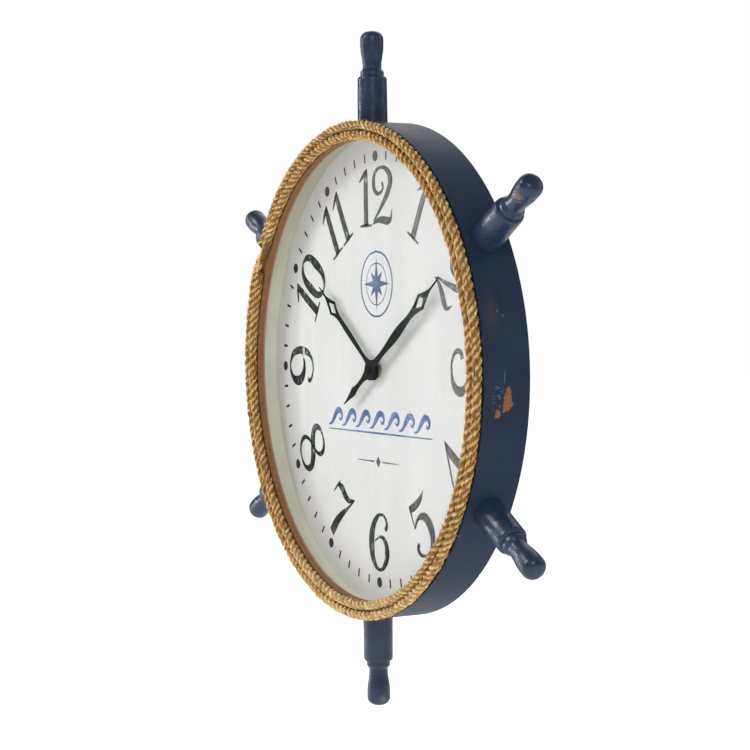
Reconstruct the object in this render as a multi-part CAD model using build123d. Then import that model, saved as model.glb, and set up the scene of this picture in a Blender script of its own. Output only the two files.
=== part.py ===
from build123d import *
import os
from math import acos, cos, hypot, pi, radians, sin, sqrt, tan

# Ship wheel wall clock. The hands turn about the Y axis, the dial faces -Y and 12 o'clock is +Z.
# The origin lies on the hands' axis, midway between the rope's front and the rim that meets the wall.
# A clock angle is in degrees, clockwise from 12 as seen from the front.

# Case hoop
case_radius = 222.6
case_wall = 6.6
case_depth = 44.3
rear_edge_chamfer = 1.2
glue_gap = 0.1
seat_gap = 0.3
overrun = 5.0

# Rope, one length wound twice round the front
rope_diameter = 8.8
rope_turn_gap = 0.5
rope_inset = 3.2
rope_seam_angle = 302.5
rope_crossing_angle = 6.0
rope_end_angle = 0.4

# Front ring, glass, spacer and dial
front_ring_depth = 7.4
front_ring_width = 8.7
glass_thickness = 2.0
glass_fit = 0.6
spacer_depth = 14.7
spacer_wall = 2.0
dial_print_thickness = 0.3
dial_board_thickness = 3.0
dial_fit = 0.5

# Turned handles
handle_count = 6
handle_length = 82.4
handle_axis_behind_front = 22.0
bulb_radius = 10.5
bulb_end_round = 7.5
bulb_widest_from_tip = 11.0
neck_radius = 8.4
neck_end_from_tip = 33.6
collar_radius = 10.6
collar_start_from_tip = 36.4
collar_end_from_tip = 40.4
groove_depth = 0.6
shoulder_radius = 13.2
base_radius = 13.6

# Handle screws, driven from inside the hoop
handle_screw_radius = 2.0
handle_screw_head_radius = 4.0
handle_screw_head_depth = 2.2
handle_screw_bite = 28.0
screw_fit = 0.05

# Clips that hold the dial board against the spacer
clip_count = 6
clip_width = 14.0
clip_thickness = 1.0
clip_board_leg = 12.0
clip_wall_leg = 12.0
clip_screw_radius = 1.45
clip_screw_bite = 5.2
clip_screw_head_radius = 2.8
clip_screw_head_depth = 1.5

# Hanger at the top of the back
hanger_block_width = 76.0
hanger_block_height = 36.0
hanger_plate_width = 64.0
hanger_plate_height = 26.0
hanger_plate_thickness = 1.6
hanger_plate_recess = 0.5
hanger_plate_corner = 6.0
hanger_plate_below_wall = 7.0
keyhole_head_radius = 5.0
keyhole_slot_width = 4.6
keyhole_slot_rise = 9.0
keyhole_drop = 5.0
keyhole_pocket_depth = 11.0
keyhole_pocket_margin = 2.0
hanger_screw_radius = 1.75
hanger_screw_length = 11.0
hanger_screw_inset = 7.0

# Quartz movement
movement_width = 56.0
movement_depth = 15.0
movement_wall = 1.2
movement_corner = 3.0
partition_drop = 10.6
partition_wall = 1.0
cover_thickness = 1.2
gasket_thickness = 0.8
gasket_radius = 11.0
bushing_radius = 4.0
bushing_flange_radius = 5.4
bushing_flange_depth = 0.9
dial_hole_fit = 0.3
nut_across_flats = 12.0
nut_thickness = 1.7
washer_radius = 7.0
washer_thickness = 0.6
fit = 0.05
end_play = 0.1

# Battery and its contacts
battery_radius = 7.1
battery_can_length = 49.2
battery_nub_radius = 2.65
battery_nub_length = 1.2
battery_edge_chamfer = 0.6
contact_thickness = 0.5
contact_width = 9.0
contact_height = 10.0
spring_leaf_stand = 2.3

# Hands
hand_thickness = 0.6
minute_hand_reach = 150.0
minute_tail_reach = 60.0
minute_diamond_half_width = 7.9
hour_hand_reach = 131.0
hour_diamond_half_width = 7.6
hub_radius = 9.3
collet_depth = 1.2
minute_hand_front = 8.4
hand_to_hand = 3.1
minute_hand_angle = 57.2
hour_hand_angle = 305.9
tip_nut_radius = 3.6
tip_nut_depth = 3.0

# Arbors and wheels
minute_arbor_radius = 1.6
hour_tube_radius = 2.5
pivot_radius = 0.4
pivot_depth = 0.8
arbor_radius = 0.75
centre_boss_radius = 2.8
wheel_thickness = 0.7
level_gap = 0.6
backlash = 0.07
pressure_angle = 25.0
addendum_share = 0.8
dedendum_share = 1.1
motion_module = 0.6
centre_module = 0.41
third_module = 0.375
fourth_module = 0.31
first_module = 0.22
cannon_teeth = 10
minute_wheel_teeth = 30
minute_pinion_teeth = 8
hour_wheel_teeth = 32
knob_teeth = 15
centre_teeth = 48
third_pinion_teeth = 8
third_teeth = 40
fourth_pinion_teeth = 8
fourth_teeth = 48
first_pinion_teeth = 8
first_teeth = 60
rotor_pinion_teeth = 6
minute_wheel_bearing_angle = 135.0
knob_bearing_angle = 75.0
third_bearing_angle = 20.0
fourth_bearing_angle = 100.0
first_bearing_angle = 10.0
rotor_bearing_angle = -75.0
knob_radius = 5.5
knob_depth = 0.8
knob_sides = 12

# Motor and circuit
rotor_magnet_radius = 2.5
rotor_magnet_depth = 2.4
rotor_air_gap = 0.4
stator_thickness = 0.8
stator_web = 2.2
coil_radius = 2.8
coil_length = 7.4
coil_flange = 0.8
coil_core_width = 2.4
coil_drop = 6.4
board_width = 7.4
board_length = 22.0
board_thickness = 0.8
board_margin = 0.5
chip_radius = 2.4
crystal_radius = 1.0
crystal_length = 6.0

# Depths along Y, from the front to the wall
overall_depth = rope_diameter + seat_gap + case_depth
rear_y = overall_depth / 2
rope_y = rope_diameter / 2 - rear_y
case_front_y = rear_y - case_depth
glass_front_y = case_front_y + front_ring_depth
spacer_front_y = glass_front_y + glass_thickness
dial_y = spacer_front_y + spacer_depth
board_front_y = dial_y + dial_print_thickness
board_rear_y = board_front_y + dial_board_thickness
handle_y = case_front_y + handle_axis_behind_front
movement_front_y = board_rear_y + gasket_thickness
movement_rear_y = movement_front_y + movement_depth
room_front_y = movement_front_y + movement_wall
room_rear_y = movement_rear_y - cover_thickness
hoop_inner_radius = case_radius - case_wall
hanger_screw_spacing = hanger_plate_width - 2 * hanger_screw_inset
tip_radius = case_radius + handle_length
rope_outer_radius = case_radius - rope_inset
rope_pitch = rope_diameter + rope_turn_gap
hour_hand_y = dial_y - minute_hand_front + hand_to_hand
minute_hand_y = dial_y - minute_hand_front
nut_rear_y = dial_y - washer_thickness
nut_front_y = nut_rear_y - nut_thickness

# Levels of the wheels inside the movement
hour_level = room_front_y + bushing_flange_depth + end_play
minute_level = hour_level + wheel_thickness + level_gap
centre_level = minute_level + wheel_thickness + level_gap
third_level = centre_level + wheel_thickness + level_gap
fourth_level = third_level + wheel_thickness + level_gap
first_level = fourth_level + wheel_thickness + level_gap


def slab(face, front, rear):
    """A flat piece cut to the face drawn in x and z, between two depths."""
    return Pos(0, rear, 0) * extrude(face, rear - front)


def disc(radius, front, rear, x=0, z=0):
    """A round piece about an axis along Y."""
    return Pos(x, 0, z) * slab(Plane.XZ * Circle(radius), front, rear)


def ring(outer, inner, front, rear):
    return disc(outer, front, rear) - disc(inner, front - overrun, rear + overrun)


def block(x0, x1, y0, y1, z0, z1):
    """A box between its lowest and highest corners."""
    return Pos((x0 + x1) / 2, (y0 + y1) / 2, (z0 + z1) / 2) * Box(x1 - x0, y1 - y0, z1 - z0)


def at_clock(shape, angle):
    """Turn a piece made at 12 o'clock to its clock angle."""
    return Rot(0, angle, 0) * shape


def round_pattern(make, count, first=0):
    return [at_clock(make(), first + i * 360 / count) for i in range(count)]


def upright(radius, low, high, y):
    """A round bar standing along Z at depth y."""
    return Pos(0, y, (low + high) / 2) * Cylinder(radius, high - low)


def cone_up(low_radius, high_radius, low, high, y):
    return Pos(0, y, (low + high) / 2) * Cone(low_radius, high_radius, high - low)


# Case, rope, front ring, glass and dial
def case_hoop():
    hoop = ring(case_radius, hoop_inner_radius, case_front_y, rear_y)
    rear_edge = hoop.edges().filter_by(GeomType.CIRCLE).sort_by(Axis.Y)[-2:].sort_by(SortBy.RADIUS)[-1]
    hoop = chamfer(rear_edge, rear_edge_chamfer)
    for i in range(handle_count):
        angle = i * 360 / handle_count
        hoop -= at_clock(handle_screw_body(screw_fit), angle)
    for i in range(clip_count):
        angle = (i + 1 / 2) * 360 / clip_count
        hoop -= at_clock(clip_screw_shank(screw_fit), angle)
    return hoop


def front_ring():
    outer = hoop_inner_radius - glue_gap
    return ring(outer, outer - front_ring_width, case_front_y, glass_front_y)


def rope_point(radius, clock):
    return Vector(radius * sin(radians(clock)), radius * cos(radians(clock)))


def rope_heading(clock):
    return Vector(cos(radians(clock)), -sin(radians(clock)))


def rope_turn(radius, start, stop):
    """Arcs of at most a quarter turn, clockwise from one clock angle to another."""
    count = int((stop - start) / 90) + 1
    step = (stop - start) / count
    return [CenterArc((0, 0), radius, 90 - start - i * step, -step) for i in range(count)]


def rope_crossing(start, stop):
    """Two tangent arcs that carry the rope from the outer turn in to the inner one."""
    inner_radius = rope_outer_radius - rope_pitch
    p0, p1 = rope_point(rope_outer_radius, start), rope_point(inner_radius, stop)
    t0, t1 = rope_heading(start), rope_heading(stop)
    chord, sum_t = p1 - p0, t0 + t1
    turn = 2 * (1 - t0.dot(t1))
    along = chord.dot(sum_t)
    reach = (sqrt(along * along + turn * chord.dot(chord)) - along) / turn
    middle = (p0 + p1 + (t0 - t1) * reach) * (1 / 2)
    first = TangentArc(p0, middle, tangent=t0)
    return [first, TangentArc(middle, p1, tangent=first % 1)]


def rope_path():
    start = rope_seam_angle
    crossing = start + 360 - rope_crossing_angle
    inner_radius = rope_outer_radius - rope_pitch
    edges = rope_turn(rope_outer_radius, start, crossing)
    edges += rope_crossing(crossing, start + 360)
    edges += rope_turn(inner_radius, start + 360, crossing + 360 - rope_end_angle)
    return Plane.XZ * Wire(edges)


def rope_gap(path):
    """Least gap of the rope to itself, from points that are at least three diameters apart along it."""
    count = 1600
    points = [path @ (i / count) for i in range(count + 1)]
    places = [(point.X, point.Z) for point in points]
    skip = int(3 * rope_diameter / path.length * count) + 1
    least = min(
        hypot(places[i][0] - places[j][0], places[i][1] - places[j][1])
        for i in range(count + 1)
        for j in range(i + skip, count + 1)
    )
    return least - rope_diameter


def rim_rope():
    path = Pos(0, rope_y, 0) * rope_path()
    print("rope length", round(path.length, 1), "least gap to itself", round(rope_gap(path), 3))
    section = Plane(origin=path @ 0, z_dir=path % 0) * Circle(rope_diameter / 2)
    return Solid.sweep(section.face(), path)


def glass():
    return disc(hoop_inner_radius - glass_fit, glass_front_y, spacer_front_y)


def spacer_ring():
    outer = hoop_inner_radius - glass_fit
    return ring(outer, outer - spacer_wall, spacer_front_y, dial_y)


def dial_print():
    return ring(hoop_inner_radius - dial_fit, bushing_radius + dial_hole_fit, dial_y, board_front_y)


def dial_board():
    return ring(hoop_inner_radius - dial_fit, bushing_radius + dial_hole_fit, board_front_y, board_rear_y)


# Handles and their screws
def s_curve(start, end):
    """Two tangent arcs that leave the start and reach the end along the axis."""
    middle = ((start[0] + end[0]) / 2, (start[1] + end[1]) / 2)
    first = TangentArc(start, middle, tangent=(0, -1))
    return [first, TangentArc(middle, end, tangent=first % 1)]


def handle_blank():
    """The turned profile, revolved about the handle's own axis."""
    top = tip_radius
    flat = bulb_radius - bulb_end_round
    widest = top - bulb_widest_from_tip
    neck = top - neck_end_from_tip
    collar_high = top - collar_start_from_tip
    collar_low = top - collar_end_from_tip
    groove_radius = collar_radius - groove_depth
    shoulder = collar_low - (shoulder_radius - groove_radius)
    base = case_radius - overrun
    edges = [
        Line((0, top), (flat, top)),
        TangentArc((flat, top), (bulb_radius, top - bulb_end_round), tangent=(1, 0)),
        Line((bulb_radius, top - bulb_end_round), (bulb_radius, widest)),
        *s_curve((bulb_radius, widest), (neck_radius, neck)),
        Line((neck_radius, neck), (collar_radius, collar_high)),
        Line((collar_radius, collar_high), (collar_radius, collar_low)),
        Line((collar_radius, collar_low), (groove_radius, collar_low)),
        Bezier((groove_radius, collar_low), (shoulder_radius, collar_low), (shoulder_radius, shoulder)),
        Line((shoulder_radius, shoulder), (base_radius, base)),
        Line((base_radius, base), (0, base)),
        Line((0, base), (0, top)),
    ]
    return revolve(make_face(Plane.XZ * Wire(edges)), Axis.Z)


def handle_screw_body(spread):
    """Countersunk screw lying along Z from the hoop's inner wall out into the handle."""
    inner = hoop_inner_radius
    head = inner + handle_screw_head_depth
    tip = case_radius + handle_screw_bite
    screw = upright(handle_screw_radius + spread, inner, tip + spread, handle_y)
    screw += cone_up(handle_screw_head_radius + spread, handle_screw_radius + spread, inner, head, handle_y)
    return screw


def handle():
    turned = Pos(0, handle_y, 0) * handle_blank()
    turned -= disc(case_radius + glue_gap, -rear_y, rear_y)
    return turned - handle_screw_body(screw_fit)


# Clips and hanger
def board_clip():
    outer = sqrt((hoop_inner_radius - glue_gap) ** 2 - (clip_width / 2) ** 2)
    front = board_rear_y
    half = clip_width / 2
    board_leg = block(-half, half, front, front + clip_thickness, outer - clip_board_leg, outer)
    wall_leg = block(-half, half, front, front + clip_wall_leg, outer - clip_thickness, outer)
    return board_leg + wall_leg - clip_screw_shank(screw_fit)


def clip_screw_y():
    return board_rear_y + clip_wall_leg * 3 / 5


def clip_screw_shank(spread):
    inner = hoop_inner_radius - 3 * clip_thickness
    outer = hoop_inner_radius + clip_screw_bite
    return upright(clip_screw_radius + spread, inner, outer + spread, clip_screw_y())


def clip_screw():
    leg_face = sqrt((hoop_inner_radius - glue_gap) ** 2 - (clip_width / 2) ** 2) - clip_thickness
    low = leg_face - clip_screw_head_depth
    shank = upright(clip_screw_radius, low, hoop_inner_radius + clip_screw_bite, clip_screw_y())
    return shank + upright(clip_screw_head_radius, low, leg_face, clip_screw_y())


def hanger_plate_rear():
    return rear_y - hanger_plate_recess


def hanger_plate_front():
    return hanger_plate_rear() - hanger_plate_thickness


def hanger_plate_z():
    return hoop_inner_radius - hanger_plate_below_wall - hanger_plate_height / 2


def keyhole_z():
    return hanger_plate_z() - keyhole_drop


def hanger_screw_hole(spread):
    hole = disc(hanger_screw_radius + spread, hanger_plate_rear() - hanger_screw_length, rear_y)
    sink = Pos(0, hanger_plate_rear() - hanger_plate_thickness / 2, 0) * Rot(-90, 0, 0) * Cone(
        hanger_screw_radius + spread, 2 * hanger_screw_radius + spread, hanger_plate_thickness)
    return hole + sink


def hanger_places(shape):
    z = hanger_plate_z()
    return [Pos(side * hanger_screw_spacing / 2, 0, z) * shape for side in (-1, 1)]


def hanger_block():
    half = hanger_block_width / 2
    front = board_rear_y + glue_gap
    top = hoop_inner_radius
    body = block(-half, half, front, hanger_plate_front(), top - hanger_block_height, top)
    body &= disc(top - glue_gap, front, rear_y)
    margin = keyhole_pocket_margin
    pocket_half = keyhole_head_radius + margin
    pocket = block(
        -pocket_half, pocket_half, hanger_plate_front() - keyhole_pocket_depth, rear_y,
        keyhole_z() - pocket_half, keyhole_z() + keyhole_slot_rise + pocket_half,
    )
    body -= pocket
    for hole in hanger_places(hanger_screw_hole(screw_fit)):
        body -= hole
    return body


def hanger_plate():
    outline = RectangleRounded(hanger_plate_width, hanger_plate_height, hanger_plate_corner)
    plate = slab(Plane.XZ * Pos(0, hanger_plate_z()) * outline, hanger_plate_front(), hanger_plate_rear())
    keyhole = disc(keyhole_head_radius, -rear_y, rear_y, z=keyhole_z())
    slot_half = keyhole_slot_width / 2
    slot_top = keyhole_z() + keyhole_slot_rise
    keyhole += block(-slot_half, slot_half, -rear_y, rear_y, keyhole_z(), slot_top)
    keyhole += disc(slot_half, -rear_y, rear_y, z=slot_top)
    plate -= keyhole
    for hole in hanger_places(hanger_screw_hole(screw_fit)):
        plate -= hole
    return plate


def hanger_screw():
    rear = hanger_plate_rear()
    shank = disc(hanger_screw_radius, rear - hanger_screw_length + fit, rear)
    head = Pos(0, rear - hanger_plate_thickness / 2, 0) * Rot(-90, 0, 0) * Cone(
        hanger_screw_radius, 2 * hanger_screw_radius, hanger_plate_thickness)
    return shank + head


# Gear geometry
def involute(angle):
    return tan(angle) - angle


def gear_face(teeth, module, phase):
    """Outline of a spur wheel with a tooth centred on the phase angle, counted from +X towards +Z."""
    pitch = teeth * module / 2
    base = pitch * cos(radians(pressure_angle))
    tip = pitch + addendum_share * module
    root = pitch - dedendum_share * module
    low = max(base, root)
    at_base = (pi * module / 2 - backlash) / 2 / pitch + involute(radians(pressure_angle))
    widths = [at_base - involute(acos(base / r)) for r in (low, tip)]
    side = [(low, widths[0]), (tip, widths[1])]
    if root < base:
        side.insert(0, (root, widths[0]))
    points = []
    for i in range(teeth):
        centre = radians(phase + i * 360 / teeth)
        points += [(r * cos(centre - w), r * sin(centre - w)) for r, w in side]
        points += [(r * cos(centre + w), r * sin(centre + w)) for r, w in reversed(side)]
    return Plane.XZ * make_face(Polyline(*points, close=True))


def wheel(teeth, module, phase, place, level, overlap=0):
    """A toothed disc at its level, made deeper both ways by the overlap where it is a pinion."""
    face = Pos(place[0], 0, place[1]) * gear_face(teeth, module, phase)
    return slab(face, level - overlap, level + wheel_thickness + overlap)


def step_to(place, distance, direction):
    angle = radians(direction)
    return (place[0] + distance * cos(angle), place[1] + distance * sin(angle))


def centres(teeth_a, teeth_b, module):
    return (teeth_a + teeth_b) * module / 2


def meshed(phase, teeth, direction, mate_teeth):
    """Phase of the mate whose gap faces this wheel's tooth along the line of centres."""
    return direction + 180 - ((phase - direction) * teeth + 180) / mate_teeth


centre_place = (0, 0)
motion_distance = centres(cannon_teeth, minute_wheel_teeth, motion_module)
knob_distance = centres(minute_wheel_teeth, knob_teeth, motion_module)
third_distance = centres(centre_teeth, third_pinion_teeth, centre_module)
fourth_distance = centres(third_teeth, fourth_pinion_teeth, third_module)
first_distance = centres(fourth_teeth, first_pinion_teeth, fourth_module)
rotor_distance = centres(first_teeth, rotor_pinion_teeth, first_module)
minute_wheel_place = step_to(centre_place, motion_distance, minute_wheel_bearing_angle)
knob_place = step_to(minute_wheel_place, knob_distance, knob_bearing_angle)
third_place = step_to(centre_place, third_distance, third_bearing_angle)
fourth_place = step_to(third_place, fourth_distance, fourth_bearing_angle)
first_place = step_to(fourth_place, first_distance, first_bearing_angle)
rotor_place = step_to(first_place, rotor_distance, rotor_bearing_angle)
pivot_places = [minute_wheel_place, knob_place, third_place, fourth_place, first_place, rotor_place]

minute_wheel_phase = meshed(0, cannon_teeth, minute_wheel_bearing_angle, minute_wheel_teeth)
hour_phase = meshed(0, minute_pinion_teeth, minute_wheel_bearing_angle + 180, hour_wheel_teeth)
knob_phase = meshed(minute_wheel_phase, minute_wheel_teeth, knob_bearing_angle, knob_teeth)
third_pinion_phase = meshed(0, centre_teeth, third_bearing_angle, third_pinion_teeth)
fourth_pinion_phase = meshed(0, third_teeth, fourth_bearing_angle, fourth_pinion_teeth)
first_pinion_phase = meshed(0, fourth_teeth, first_bearing_angle, first_pinion_teeth)
rotor_phase = meshed(0, first_teeth, rotor_bearing_angle, rotor_pinion_teeth)


def pivot_hole(place, front, rear):
    return disc(pivot_radius + fit, front, rear, place[0], place[1])


def arbor(place, rear=None):
    """A wheel's shaft across the room, with a thinner pivot that runs in a blind hole at each end."""
    rear = room_rear_y - end_play if rear is None else rear
    reach = pivot_depth - end_play
    shaft = disc(arbor_radius, room_front_y + end_play, rear, place[0], place[1])
    return shaft + disc(pivot_radius, room_front_y - reach, room_rear_y + reach, place[0], place[1])


# Movement case, cover, shaft bushing and what clamps the dial
def movement_case():
    half = movement_width / 2
    inner = half - movement_wall
    body = slab(Plane.XZ * RectangleRounded(movement_width, movement_width, movement_corner),
                movement_front_y, movement_rear_y)
    open_y = movement_rear_y + overrun
    body -= block(-inner, inner, room_front_y, open_y, -partition_drop, inner)
    body -= block(-inner, inner, room_front_y, open_y, -inner, -partition_drop - partition_wall)
    body -= disc(bushing_radius + fit, movement_front_y - overrun, movement_rear_y)
    for place in pivot_places:
        body -= pivot_hole(place, room_front_y - pivot_depth, room_front_y + overrun)
    return body


def movement_cover():
    half = movement_width / 2 - movement_wall - fit
    low = fit - partition_drop
    cover = block(-half, half, room_rear_y, movement_rear_y, low, half)
    for place in pivot_places:
        cover -= pivot_hole(place, room_rear_y - overrun, room_rear_y + pivot_depth)
    cover -= disc(arbor_radius + fit, room_rear_y - overrun, rear_y, knob_place[0], knob_place[1])
    cover += disc(centre_boss_radius, centre_boss_front(), room_rear_y)
    return cover - disc(minute_arbor_radius + fit, centre_boss_front() - overrun, room_rear_y - end_play)


def centre_boss_front():
    """The cover's centre boss reaches down to just behind the centre wheel."""
    return centre_level + wheel_thickness + end_play


def shaft_bushing():
    """Brass tube through the dial, clamped by the nut in front and held by its flange inside the case."""
    body = disc(bushing_radius, nut_front_y - nut_thickness / 2, room_front_y)
    body += disc(bushing_flange_radius, room_front_y, room_front_y + bushing_flange_depth)
    return body - disc(hour_tube_radius + fit, -rear_y, rear_y)


def dial_gasket():
    return ring(gasket_radius, bushing_radius + dial_hole_fit, board_rear_y, movement_front_y)


def dial_washer():
    return ring(washer_radius, bushing_radius + fit, nut_rear_y, dial_y)


def bushing_nut():
    hexagon = RegularPolygon(nut_across_flats / 2, 6, major_radius=False)
    return slab(Plane.XZ * hexagon, nut_front_y, nut_rear_y) - disc(bushing_radius + fit, -rear_y, rear_y)


# Battery and contacts
def bay_inner():
    return movement_width / 2 - movement_wall


def battery_y():
    return room_front_y + seat_gap + battery_radius


def battery_z():
    return -(partition_drop + partition_wall + bay_inner()) / 2


def battery():
    """AA cell lying along X with its nub towards +X."""
    nub_end = bay_inner() - contact_thickness - end_play
    shoulder = nub_end - battery_nub_length
    low = shoulder - battery_can_length
    lie = Pos(0, battery_y(), battery_z()) * Rot(0, 90, 0)
    can = Pos(0, 0, (low + shoulder) / 2) * Cylinder(battery_radius, battery_can_length)
    can = chamfer(can.edges().filter_by(GeomType.CIRCLE), battery_edge_chamfer)
    nub = Pos(0, 0, (shoulder + nub_end) / 2) * Cylinder(battery_nub_radius, nub_end - shoulder)
    return lie * (can + nub)


def contact_positive():
    wall = bay_inner()
    y, z = battery_y(), battery_z()
    plate = block(wall - contact_thickness, wall, y - contact_height / 2, y + contact_height / 2,
                  z - contact_width / 2, z + contact_width / 2)
    return plate


def contact_negative():
    """A bent spring leaf: its foot lies on the bay's wall and its bow presses on the can."""
    wall = -bay_inner()
    y, z = battery_y(), battery_z()
    low, high = y - contact_height / 2, y + contact_height / 2
    crest = wall + spring_leaf_stand
    outline = Polyline(
        (wall, low), (wall + contact_thickness, low), (crest, y), (wall + contact_thickness, high),
        (wall, high), (wall, high - contact_thickness), (crest - contact_thickness, y),
        (wall, low + contact_thickness), close=True,
    )
    face = Pos(0, 0, z - contact_width / 2) * make_face(outline)
    return extrude(face, contact_width)


# Hands. Each row is a share of the reach and a share of the diamond's half width.
minute_blade_shares = [(0.17, 0.37), (0.27, 0.46), (0.40, 0.62), (0.50, 0.51), (0.58, 0.38), (0.66, 0.52)]
hour_blade_shares = [(0.14, 0.33), (0.28, 0.34), (0.44, 0.38), (0.54, 0.37), (0.62, 0.38), (0.67, 0.52)]
minute_diamond_shares = (0.747, 0.81, 0.87)
hour_diamond_shares = (0.737, 0.81, 0.88)
diamond_width_shares = (1.0, 0.50, 0.14)
point_width_share = 0.06
minute_window_shares = (0.68, 0.745, 0.79, 0.60)
hour_window_shares = (0.67, 0.735, 0.81, 0.60)
tail_shares = [(0.10, 0.75), (0.20, 0.46), (0.31, 0.32), (0.41, 0.30), (0.52, 0.36), (0.63, 0.56)]
tail_point_shares = [(0.75, 0.35), (0.87, 0.17)]


def both_sides(curves, foot, point):
    """A face between curves, given as lists of points on the right, and their mirror images."""
    edges = [Line(foot, (-foot[0], foot[1])), Line(point, (-point[0], point[1]))]
    for side in (-1, 1):
        for curve in curves:
            edges.append(Spline(*[(side * x, y) for x, y in curve]))
        last = curves[-1][-1]
        edges.append(Line((side * last[0], last[1]), (side * point[0], point[1])))
    return make_face(Wire(edges))


def blade_face(reach, half_width, blade, diamond, window):
    """The pointing arm along +Y of the sketch: waisted blade, open diamond and needle point."""
    foot = (hub_radius * sin(radians(30)), hub_radius * cos(radians(30)))
    lower = [foot] + [(w * half_width, a * reach) for a, w in blade] + [(half_width, diamond[0] * reach)]
    upper = [(w * half_width, a * reach) for a, w in zip(diamond, diamond_width_shares)]
    face = both_sides([lower, upper], foot, (point_width_share * half_width, reach))
    low, mid, high, width = window
    hole = Polyline((0, low * reach), (width * half_width, mid * reach), (0, high * reach),
                    (-width * half_width, mid * reach), close=True)
    return face - make_face(hole)


def tail_face():
    reach, half_width = minute_tail_reach, minute_diamond_half_width
    side = [(w * half_width, -a * reach) for a, w in tail_shares]
    corner = [side[-1]] + [(w * half_width, -a * reach) for a, w in tail_point_shares]
    return both_sides([side, corner], side[0], (point_width_share * half_width, -reach))


def hand(face, hole_radius, front, clock):
    plate = slab(Plane.XZ * (face + Circle(hub_radius)), front, front + hand_thickness)
    return at_clock(plate - disc(hole_radius + fit, -rear_y, rear_y), clock)


def minute_hand():
    face = blade_face(minute_hand_reach, minute_diamond_half_width, minute_blade_shares,
                      minute_diamond_shares, minute_window_shares) + tail_face()
    return hand(face, minute_arbor_radius, minute_hand_y, minute_hand_angle)


def hour_hand():
    face = blade_face(hour_hand_reach, hour_diamond_half_width, hour_blade_shares,
                      hour_diamond_shares, hour_window_shares)
    return hand(face, hour_tube_radius, hour_hand_y, hour_hand_angle)


def collet(hole_radius, front):
    rear = front + hand_thickness + collet_depth
    return ring(hub_radius, hole_radius + fit, front + hand_thickness, rear)


def minute_collet():
    return collet(minute_arbor_radius, minute_hand_y)


def hour_collet():
    return collet(hour_tube_radius, hour_hand_y)


def hand_tip_nut():
    """Domed nut on the minute arbor's end."""
    rear = minute_hand_y
    front = rear - tip_nut_depth
    rim = rear - tip_nut_depth / 2
    edges = [
        TangentArc((0, front), (tip_nut_radius, rim), tangent=(1, 0)),
        Line((tip_nut_radius, rim), (tip_nut_radius, rear)),
        Line((tip_nut_radius, rear), (0, rear)),
        Line((0, rear), (0, front)),
    ]
    dome = revolve(make_face(Wire(edges)), Axis.Y)
    return dome - disc(minute_arbor_radius + fit, rim, rear + overrun)


# Motion work and going train
def minute_arbor():
    tip = minute_hand_y - tip_nut_depth / 2 + end_play
    shaft = disc(minute_arbor_radius, tip, room_rear_y - 2 * end_play)
    return shaft + wheel(cannon_teeth, motion_module, 0, centre_place, minute_level, level_gap / 3)


def hour_wheel():
    tube_front = hour_hand_y - end_play
    body = disc(hour_tube_radius, tube_front, hour_level + wheel_thickness)
    body += wheel(hour_wheel_teeth, motion_module, hour_phase, centre_place, hour_level)
    return body - disc(minute_arbor_radius + fit, -rear_y, rear_y)


def minute_wheel():
    place = minute_wheel_place
    body = arbor(place, rear=minute_level + wheel_thickness + level_gap)
    body += wheel(minute_wheel_teeth, motion_module, minute_wheel_phase, place, minute_level)
    return body + wheel(minute_pinion_teeth, motion_module, 0, place, hour_level, level_gap / 3)


def setting_knob():
    place = knob_place
    front, rear = movement_rear_y + end_play, movement_rear_y + end_play + knob_depth
    body = disc(arbor_radius, room_front_y + end_play, rear, place[0], place[1])
    body += disc(pivot_radius, room_front_y + end_play - pivot_depth, rear, place[0], place[1])
    body += wheel(knob_teeth, motion_module, knob_phase, place, minute_level)
    grip = Plane.XZ * Pos(place[0], place[1]) * RegularPolygon(knob_radius, knob_sides)
    return body + slab(grip, front, rear)


def centre_wheel():
    body = wheel(centre_teeth, centre_module, 0, centre_place, centre_level)
    return body - disc(minute_arbor_radius + fit, -rear_y, rear_y)


def train_wheel(
    place, teeth, module, phase, level,
    pinion_teeth, pinion_module, pinion_phase, pinion_level,
):
    """A wheel and its pinion moulded on one arbor."""
    body = arbor(place)
    body += wheel(teeth, module, phase, place, level)
    return body + wheel(pinion_teeth, pinion_module, pinion_phase, place, pinion_level, level_gap / 4)


def third_wheel():
    return train_wheel(third_place, third_teeth, third_module, 0, third_level,
                       third_pinion_teeth, centre_module, third_pinion_phase, centre_level)


def fourth_wheel():
    return train_wheel(fourth_place, fourth_teeth, fourth_module, 0, fourth_level,
                       fourth_pinion_teeth, third_module, fourth_pinion_phase, third_level)


def first_wheel():
    return train_wheel(first_place, first_teeth, first_module, 0, first_level,
                       first_pinion_teeth, fourth_module, first_pinion_phase, fourth_level)


def stator_front_y():
    return minute_level + level_gap


def rotor():
    """Round magnet on the arbor that drives the train through its six-leaf pinion."""
    middle = stator_front_y() + stator_thickness / 2
    reach = pivot_depth - end_play
    body = disc(pivot_radius, room_front_y - reach, room_rear_y + reach, rotor_place[0], rotor_place[1])
    body += disc(rotor_magnet_radius, middle - rotor_magnet_depth / 2, middle + rotor_magnet_depth / 2,
                 rotor_place[0], rotor_place[1])
    pinion = wheel(rotor_pinion_teeth, first_module, rotor_phase, rotor_place, first_level, level_gap / 4)
    return body + pinion


def coil_x():
    """The coil lies along X under the rotor."""
    return bay_inner() - stator_web - glue_gap - coil_length / 2 - coil_flange


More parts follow.
